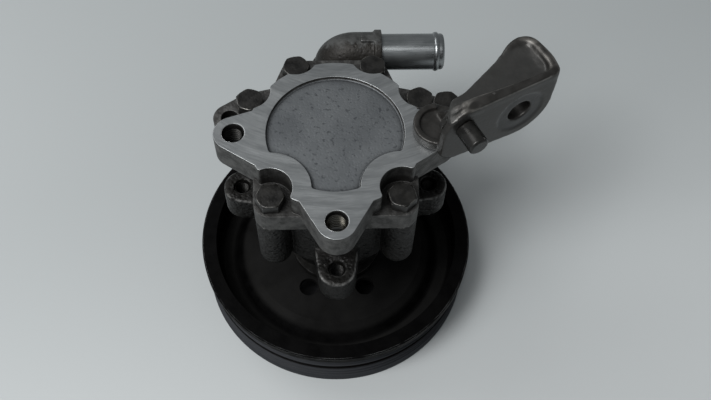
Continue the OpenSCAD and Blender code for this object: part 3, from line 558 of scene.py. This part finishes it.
# The cover: milled upper faces, cast sunk field and cast flanks below; pairs of heights give soft borders
coverFinish = {
    "facing": (0.55, 0.9), "topHeight": (0.1267, 0.1273), "fieldHeight": (0.1256, 0.1258),
    "milled": ((0.262, 0.275, 0.281), (0.385, 0.40, 0.405)), "cloudShare": 0.5,
    "cutterCentre": (0.0, 0.078, 0.0), "cutterDrift": 0.05, "marks": 1.0,
    "field": ((0.128, 0.137, 0.145), (0.182, 0.193, 0.201)), "cloudNoise": (45.0, 4.0), "clouds": (0.3, 0.7),
    "spot": (0.05, 0.054, 0.06), "spotNoise": (420.0, 5.0, 0.6), "spots": (0.57, 0.66), "spotShare": 0.6,
    # The shade line is painted shade along the foot of the recess wall
    "shadeLine": (0.045, 0.048, 0.051), "shadeLineReach": 0.0036, "shadeLineOpen": (0.90, 0.82),
    "flank": ((0.045, 0.0445, 0.043), (0.115, 0.114, 0.111)), "grain": 900.0,
    "grime": {"Reach": 0.008, "Amount": 0.7, "Scale": 130.0}, "grimeColour": (0.010, 0.009, 0.008),
    "oilAndShade": (0.006, 0.0055, 0.005), "oilReach": 0.02, "oilOpen": (0.62, 0.34), "samples": 8,
    "wear": {"Radius": 0.0007, "Amount": 0.9, "Break": 150.0}, "wearColour": (0.55, 0.56, 0.56),
    "wearHeight": (0.1236, 0.1256, 0.25, 1.0), "wearRough": 0.25,
    "metal": 0.85, "dirtyMetal": 0.1, "castRough": 0.52, "milledRough": (0.30, 0.42),
    "castBump": (0.8, 0.35), "milledBump": 0.12, "bump": 0.5, "bumpDepth": 0.0005,
}


def coverMaterial(name, s):
    mat, tree, shader, where = startMaterial(name)
    split = axes(tree, where)
    facing = addNode(tree, "NewGeometry")
    level = ramp(tree, axes(tree, facing.outputs["Normal"])["Z"], *s["facing"])
    top = product(tree, level, ramp(tree, split["Z"], *s["topHeight"]))
    field = product(tree, level, ramp(tree, split["Z"], *s["fieldHeight"]), inverse(tree, top))
    # The cutter swept in arcs round a centre behind the cover
    along = addNode(tree, "CombineXYZ")
    feed(tree, along.inputs["X"], vectorMath(tree, "DISTANCE", where, s["cutterCentre"], "Value"))
    feed(tree, along.inputs["Y"], product(tree, split["X"], s["cutterDrift"]))
    cut = useGroup(tree, "cutMarks", along.outputs["Vector"], Scale=s["marks"])
    grain = useGroup(tree, "castGrain", where, Scale=s["grain"])
    wear = useGroup(tree, "edgeWear", where, **s["wear"])["Mask"]
    grime = useGroup(tree, "grime", where, **s["grime"])["Mask"]
    clouds = ramp(tree, noise(tree, where, *s["cloudNoise"]), *s["clouds"])
    milled = mixColour(tree, mixValue(tree, s["cloudShare"], cut["Tone"], clouds), *s["milled"])
    # The field is spotted, and a dark line of painted shade lies along the foot of its wall
    spots = ramp(tree, noise(tree, where, *s["spotNoise"]), *s["spots"])
    shadeLine = ramp(tree, openness(tree, s["shadeLineReach"], s["samples"]), *s["shadeLineOpen"])
    fieldTone = mixColour(tree, clouds, *s["field"])
    fieldTone = mixColour(tree, product(tree, spots, s["spotShare"]), fieldTone, s["spot"])
    fieldTone = mixColour(tree, shadeLine, fieldTone, s["shadeLine"])
    # The pockets round the bolt heads are black with oil
    oily = ramp(tree, openness(tree, s["oilReach"], s["samples"]), *s["oilOpen"])
    flank = mixColour(tree, grain["Mottle"], *s["flank"])
    flank = mixColour(tree, grime, flank, s["grimeColour"])
    flank = mixColour(tree, oily, flank, s["oilAndShade"])
    colour = mixColour(tree, field, flank, fieldTone)
    colour = mixColour(tree, top, colour, milled)
    wear = product(tree, wear, ramp(tree, split["Z"], *s["wearHeight"]))
    feed(tree, shader.inputs["Base Color"], mixColour(tree, wear, colour, s["wearColour"]))
    dirty = product(tree, math2(tree, "MAXIMUM", grime, oily), inverse(tree, math2(tree, "MAXIMUM", top, field)))
    feed(tree, shader.inputs["Metallic"], mixValue(tree, dirty, s["metal"], s["dirtyMetal"]))
    rough = mixValue(tree, top, s["castRough"], mixValue(tree, cut["Tone"], *s["milledRough"]))
    feed(tree, shader.inputs["Roughness"], mixValue(tree, wear, rough, s["wearRough"]))
    castHeight = product(tree, grain["Height"], mixValue(tree, field, *s["castBump"]))
    height = mixValue(tree, top, castHeight, product(tree, cut["Height"], s["milledBump"]))
    bump(tree, shader, height, s["bump"], s["bumpDepth"])
    return mat


# Turned, plated and ground steel: concentric or lengthwise marks and faint stains
def steelMaterial(name, s):
    mat, tree, shader, where = startMaterial(name)
    marks = addNode(tree, "Mapping")
    feed(tree, marks.inputs["Vector"], where)
    marks.inputs["Scale"].default_value = s["stretch"]
    cut = useGroup(tree, "cutMarks", marks.outputs["Vector"], Scale=s["marks"])
    wear = useGroup(tree, "edgeWear", where, Radius=s["wearRadius"], Amount=s["wear"], Break=s["wearBreak"])
    grime = useGroup(tree, "grime", where, Reach=s["grimeReach"], Amount=s["grime"], Scale=s["grimeScale"])
    grime = grime["Mask"]
    stain = ramp(tree, noise(tree, where, *s["stainNoise"]), *s["stain"])
    colour = mixColour(tree, mixValue(tree, s["stainShare"], cut["Tone"], stain), s["dark"], s["light"])
    colour = mixColour(tree, grime, colour, s["grimeColour"])
    feed(tree, shader.inputs["Base Color"], mixColour(tree, wear["Mask"], colour, s["wearColour"]))
    feed(tree, shader.inputs["Metallic"], mixValue(tree, grime, s["metal"], s["grimeMetal"]))
    rough = mixValue(tree, cut["Tone"], *s["rough"])
    feed(tree, shader.inputs["Roughness"], mixValue(tree, grime, rough, s["grimeRough"]))
    bump(tree, shader, cut["Height"], s["bump"], s["bumpDepth"])
    return mat


steelBase = {
    "dark": (0.30, 0.30, 0.295), "light": (0.45, 0.45, 0.44), "metal": 0.95, "rough": (0.28, 0.42),
    "stretch": (1.0, 1.0, 1.0), "marks": 0.6, "bump": 0.15, "bumpDepth": 0.0003,
    "stainNoise": (70.0, 5.0), "stain": (0.35, 0.7), "stainShare": 0.6,
    "wear": 0.5, "wearRadius": 0.0006, "wearBreak": 200.0, "wearColour": (0.6, 0.6, 0.59),
    "grime": 0.35, "grimeReach": 0.006, "grimeScale": 120.0,
    "grimeColour": (0.04, 0.034, 0.028), "grimeMetal": 0.3, "grimeRough": 0.6,
}
tubeFinish = {
    **steelBase,
    "dark": (0.235, 0.251, 0.256), "light": (0.34, 0.358, 0.365), "rough": (0.22, 0.34),
    "stretch": (0.06, 1.0, 1.0), "bump": 0.1, "grime": 0.25,
}
turnedFinish = {
    **steelBase,
    "dark": (0.028, 0.0275, 0.026), "light": (0.07, 0.069, 0.066), "stretch": (1.0, 1.0, 0.2),
    "grime": 0.7, "grimeColour": (0.008, 0.0075, 0.0065),
}
springFinish = {**steelBase, "dark": (0.20, 0.20, 0.195), "light": (0.30, 0.30, 0.29)}
bronzeFinish = {
    **steelBase, "dark": (0.40, 0.27, 0.13), "light": (0.55, 0.40, 0.22), "wearColour": (0.7, 0.55, 0.34),
}
brassFinish = {
    **steelBase, "dark": (0.48, 0.36, 0.17), "light": (0.62, 0.50, 0.27), "wearColour": (0.75, 0.63, 0.38),
}
threadFinish = {
    **steelBase,
    "dark": (0.016, 0.015, 0.012), "light": (0.10, 0.094, 0.077), "rough": (0.14, 0.24), "bump": 0.05,
    "wear": 0.1, "grime": 1.0, "grimeReach": 0.001, "grimeColour": (0.004, 0.0037, 0.003),
}
# A darker copy for the bores that lie in shade: painted shade
shadedThreadFinish = {
    **threadFinish, "dark": (0.003, 0.003, 0.0028), "light": (0.018, 0.0175, 0.0165), "rough": (0.24, 0.36),
}

rubberFinish = {
    "dark": (0.012, 0.012, 0.012), "light": (0.022, 0.022, 0.022), "rough": (0.5, 0.66),
    "grain": 1400.0, "bump": 0.2, "bumpDepth": 0.0002,
    "dust": {"Amount": 0.3, "Scale": 120.0}, "dustColour": (0.07, 0.065, 0.06),
}


def rubberMaterial(name, s):
    mat, tree, shader, where = startMaterial(name)
    grain = useGroup(tree, "castGrain", where, Scale=s["grain"])
    dust = useGroup(tree, "dust", where, **s["dust"])["Mask"]
    colour = mixColour(tree, grain["Mottle"], s["dark"], s["light"])
    feed(tree, shader.inputs["Base Color"], mixColour(tree, dust, colour, s["dustColour"]))
    feed(tree, shader.inputs["Roughness"], mixValue(tree, grain["Mottle"], *s["rough"]))
    bump(tree, shader, grain["Height"], s["bump"], s["bumpDepth"])
    return mat


threadSteel = steelMaterial("threadSteel", threadFinish)
threadShade = steelMaterial("threadShade", shadedThreadFinish)
pinSteel = castMaterial("pinSteel", pinFinish)
finishes = {
    "housing_casting": castMaterial("housingCasting", housingFinish),
    "elbow_casting": castMaterial("elbowCasting", elbowFinish),
    "bracket_casting": castMaterial("bracketCasting", bracketFinish),
    "black_paint": castMaterial("pulleyPaint", pulleyFinish),
    "black_steel": castMaterial("boltSteel", boltFinish),
    "milled_aluminium": coverMaterial("milledCover", coverFinish),
    "plated_tube": steelMaterial("platedTube", tubeFinish),
    "turned_steel": steelMaterial("turnedSteel", turnedFinish),
    "ground_steel": steelMaterial("groundSteel", steelBase),
    "spring_steel": steelMaterial("springSteel", springFinish),
    "bearing_bronze": steelMaterial("bushBronze", bronzeFinish),
    "cage_brass": steelMaterial("cageBrass", brassFinish),
    "seal_rubber": rubberMaterial("sealRubber", rubberFinish),
}
for part in frame["record"]["subparts"]:
    obj = nodes[part["node"]]
    obj.data.materials.clear()
    obj.data.materials.append(finishes[part["material_slot"]])
print("finishes:", len(finishes))

bodyOf = {name: body for body, names in frame["record"]["behaviour"]["bodies"].items() for name in names}
slotOf = {part["node"]: part["material_slot"] for part in frame["record"]["subparts"]}
weldReach = 2e-6


def weldedCopy(name):
    bm = bmesh.new()
    bm.from_mesh(nodes[name].data)
    bmesh.ops.remove_doubles(bm, verts=bm.verts, dist=weldReach)
    bmesh.ops.recalc_face_normals(bm, faces=bm.faces)
    return bm


def toObject(bm, name):
    mesh = bpy.data.meshes.new(name)
    bm.to_mesh(mesh)
    bm.free()
    obj = bpy.data.objects.new(name, mesh)
    bpy.context.scene.collection.objects.link(obj)
    return obj


# Gives a finished piece its finish, and puts it on the body of its CAD node
def settle(obj, name, finish=None, creaseAngle=None):
    for face in obj.data.polygons:
        face.use_smooth = True
    if creaseAngle:
        obj.data.set_sharp_from_angle(angle=math.radians(creaseAngle))
    obj.data.materials.clear()
    obj.data.materials.append(finish or finishes[slotOf[name]])
    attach(obj, bodyOf[name])
    print("form:", obj.name, len(obj.data.polygons), "faces")


# Castings: the solid is cut into an even skin of small faces, and the skin is eased into fillets.
# A rib's path gives x, y, z and the share of its radius
easeFactor = 0.5
castForms = {
    "pump_housing": {"grain": 0.8, "passes": 5, "share": 0.85},
    "support_bracket": {"grain": 0.5, "passes": 16, "share": 1.0, "ribs": [
        {"r": 2.5, "path": [(70.2, 18.6, 149.6, 0.3), (74.6, 23.8, 149.9, 0.55), (77.2, 27.0, 150.4, 0.8),
                            (80.0, 29.8, 150.9, 0.95), (84.6, 32.2, 151.4, 1.0), (88.8, 30.8, 151.8, 1.0),
                            (91.6, 25.8, 152.0, 1.0), (95.4, 19.6, 152.0, 1.0), (95.8, 15.4, 151.8, 1.0),
                            (95.2, 12.0, 151.3, 0.9)]},
        {"r": 2.2, "path": [(76.6, 22.6, 149.0, 0.7), (80.6, 26.4, 149.3, 1.0), (84.6, 28.2, 149.4, 1.0),
                            (87.2, 26.4, 149.4, 1.0), (89.2, 22.6, 149.4, 1.0), (91.8, 17.0, 149.4, 1.0)]},
        {"r": 2.1, "path": [(92.5, 11.2, 152.0, 1.0), (76.0, 3.5, 152.4, 1.0), (59.2, -2.7, 152.3, 1.0),
                            (51.8, -5.0, 151.2, 1.0), (48.6, -6.0, 146.5, 1.0), (46.9, -6.4, 139.5, 1.0)]},
    ], "melts": [
        {"from": (79.0, 27.0, 151.0), "to": (87.0, 28.6, 151.0), "reach": 6.5, "passes": 20},
        {"from": (87.0, 28.6, 151.0), "to": (93.6, 15.0, 151.0), "reach": 6.5, "passes": 20},
        {"from": (48.0, -5.5, 150.0), "to": (56.0, -6.0, 152.0), "reach": 6.0, "passes": 24},
    ]},
    "suction_elbow": {"grain": 0.42, "passes": 6, "share": 0.9},
    "cover_bolts": {"grain": 0.34, "passes": 3, "share": 0.6},
    "bracket_bolt": {"grain": 0.3, "passes": 3, "share": 0.8},
    "bracket_pin": {"grain": 0.3, "passes": 6, "share": 0.8, "finish": pinSteel},
}


# Eases the skin within reach of a line, so that a ridge there runs out softly
def meltRidge(mesh, s):
    bm = bmesh.new()
    bm.from_mesh(mesh)
    start = Vector(s["from"]) * mm
    run = Vector(s["to"]) * mm - start

    def fromLine(point):
        along = max(0.0, min(1.0, (point - start).dot(run) / run.length_squared))
        return (point - start - run * along).length

    near = [v for v in bm.verts if fromLine(v.co) < s["reach"] * mm]
    for i in range(s["passes"]):
        bmesh.ops.smooth_vert(bm, verts=near, factor=easeFactor, use_axis_x=True, use_axis_y=True, use_axis_z=True)
    bm.to_mesh(mesh)
    bm.free()


# A round rib along a curved path, which the skin then takes in
ribSteps = 4
ribOrder = 3


def ribMesh(s):
    curve = bpy.data.curves.new("rib", "CURVE")
    curve.dimensions = "3D"
    curve.bevel_depth = s["r"] * mm
    curve.bevel_resolution = ribSteps
    curve.use_fill_caps = True
    line = curve.splines.new("NURBS")
    line.points.add(len(s["path"]) - 1)
    for point, (x, y, z, share) in zip(line.points, s["path"]):
        point.co = (x * mm, y * mm, z * mm, 1)
        point.radius = share
    line.use_endpoint_u = True
    line.order_u = ribOrder
    obj = bpy.data.objects.new("rib", curve)
    bpy.context.scene.collection.objects.link(obj)
    mesh = bpy.data.meshes.new_from_object(obj.evaluated_get(bpy.context.evaluated_depsgraph_get()))
    bpy.data.objects.remove(obj)
    return mesh


def castForm(name, s):
    bm = weldedCopy(name)
    for rib in s.get("ribs", []):
        bm.from_mesh(ribMesh(rib))
    rough = toObject(bm, name + "Rough")
    skin = rough.modifiers.new("skin", "REMESH")
    skin.mode = "VOXEL"
    skin.voxel_size = s["grain"] * mm
    ease = rough.modifiers.new("ease", "SMOOTH")
    ease.factor = easeFactor
    ease.iterations = s["passes"]
    thin = rough.modifiers.new("thin", "DECIMATE")
    thin.ratio = s["share"]
    mesh = bpy.data.meshes.new_from_object(rough.evaluated_get(bpy.context.evaluated_depsgraph_get()))
    bpy.data.objects.remove(rough)
    for melt in s.get("melts", []):
        meltRidge(mesh, melt)
    mesh.name = name + "Form"
    obj = bpy.data.objects.new(name + "Form", mesh)
    bpy.context.scene.collection.objects.link(obj)
    settle(obj, name, s.get("finish"))
    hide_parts(name)


for name, s in castForms.items():
    castForm(name, s)


# The cover is machined: every sharp edge is broken, and the edges at the round's height get a wider round first
coverForm = {
    "node": "rear_cover", "flatAngle": 0.5, "sharpAngle": 40, "width": 0.28, "segments": 2,
    "round": {"z": 126.0, "reach": 0.05, "angle": 50, "width": 0.9, "segments": 4},
}


def breakEdges(bm, edges, s):
    bmesh.ops.bevel(bm, geom=edges, offset=s["width"] * mm, offset_type="OFFSET", affect="EDGES",
                    segments=s["segments"], profile=0.5, clamp_overlap=False, material=-1)


def sharpEdges(bm, degrees):
    return [e for e in bm.edges if len(e.link_faces) == 2 and e.calc_face_angle(0) > math.radians(degrees)]


def edgeForm(s):
    name = s["node"]
    wide = s["round"]
    bm = weldedCopy(name)
    bmesh.ops.dissolve_limit(bm, angle_limit=math.radians(s["flatAngle"]), verts=bm.verts, edges=bm.edges)
    level = [e for e in sharpEdges(bm, wide["angle"])
             if all(abs(v.co.z - wide["z"] * mm) < wide["reach"] * mm for v in e.verts)]
    breakEdges(bm, level, wide)
    breakEdges(bm, sharpEdges(bm, s["sharpAngle"]), s)
    obj = toObject(bm, name + "Form")
    obj.modifiers.new("normals", "WEIGHTED_NORMAL").keep_sharp = True
    settle(obj, name)
    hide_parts(name)


edgeForm(coverForm)

# Threads in the open holes: a helical sleeve inside each plain CAD bore
threadShape = {
    "gap": 0.05, "depth": 0.54, "profile": ((0.0, 0.0), (0.375, 1.0), (0.625, 1.0)), "steps": 48,
    "mergeReach": 1e-6, "creaseAngle": 25,
}
coverThread = {"node": "rear_cover", "r": 5.0, "pitch": 1.5, "z": (113.6, 127.2)}
earThread = {"node": "rear_cover", "r": 4.0, "pitch": 1.25, "z": (104.4, 115.2)}
lugThread = {"node": "pump_housing", "r": 4.0, "pitch": 1.25, "z": (66.6, 81.8)}
# The front cover bore takes the plain thread finish; the other bores take the darker copy, painted shade
threads = [
    {**coverThread, "at": (-46.0, 0.0), "finish": threadShade},
    {**coverThread, "at": (0.0, -46.0), "finish": threadSteel},
    {**earThread, "at": (-49.36, 17.29), "finish": threadShade},
    {**lugThread, "at": (-46.0, 0.0), "finish": threadShade},
    {**lugThread, "at": (0.0, -46.0), "finish": threadShade},
    {**lugThread, "at": (46.0, 0.0), "finish": threadShade},
]


def threadSleeve(number, s, shape):
    bm = bmesh.new()
    x, y = s["at"]
    pitch = s["pitch"]
    turns = int((s["z"][1] - s["z"][0]) / pitch) - 1
    line = []
    for i in range(turns):
        foot = s["z"][0] + i * pitch
        for part, inward in shape["profile"]:
            r = s["r"] - shape["gap"] - inward * shape["depth"] * pitch
            line.append(bm.verts.new(((x + r) * mm, y * mm, (foot + part * pitch) * mm)))
    edges = [bm.edges.new(pair) for pair in zip(line, line[1:])]
    bmesh.ops.spin(bm, geom=line + edges, cent=(x * mm, y * mm, 0), axis=(0, 0, 1),
                   dvec=(0, 0, pitch * mm / shape["steps"]), angle=math.tau, steps=shape["steps"], use_merge=False)
    bmesh.ops.remove_doubles(bm, verts=bm.verts, dist=shape["mergeReach"])
    bmesh.ops.recalc_face_normals(bm, faces=bm.faces)
    bmesh.ops.reverse_faces(bm, faces=bm.faces)
    obj = toObject(bm, "thread%02d" % number)
    settle(obj, s["node"], s["finish"], shape["creaseAngle"])


for number, s in enumerate(threads, 1):
    threadSleeve(number, s, threadShape)
print("threads:", len(threads))

# Pale bench top with painted light, paler towards the front right and darker towards the back left; a black disc
# of painted shade lies below the pulley, so its access holes look dark
floorSet = {
    "size": 6.0, "rough": 0.42, "colour": (0.52, 0.545, 0.55), "shade": (0.385, 0.41, 0.415),
    "fade": (-0.12, 0.16), "lean": 0.35, "oilAndShade": (0.016, 0.0165, 0.018), "shadeEdge": (0.060, 0.056),
}


def makeFloor(s):
    bm = bmesh.new()
    bmesh.ops.create_grid(bm, x_segments=1, y_segments=1, size=s["size"] / 2)
    floor = toObject(bm, "floor")
    mat, tree, shader, where = startMaterial("benchTop")
    split = axes(tree, where)
    across = math2(tree, "SUBTRACT", product(tree, split["X"], s["lean"]), split["Y"])
    # Painted light: paler towards the front right, darker towards the back left
    top = mixColour(tree, ramp(tree, across, *s["fade"]), s["shade"], s["colour"])
    # Painted shade: a black disc below the pulley
    oilAndShade = ramp(tree, fromAxis(tree, where), *s["shadeEdge"])
    feed(tree, shader.inputs["Base Color"], mixColour(tree, oilAndShade, top, s["oilAndShade"]))
    shader.inputs["Roughness"].default_value = s["rough"]
    floor.data.materials.append(mat)


makeFloor(floorSet)
print("floor set")
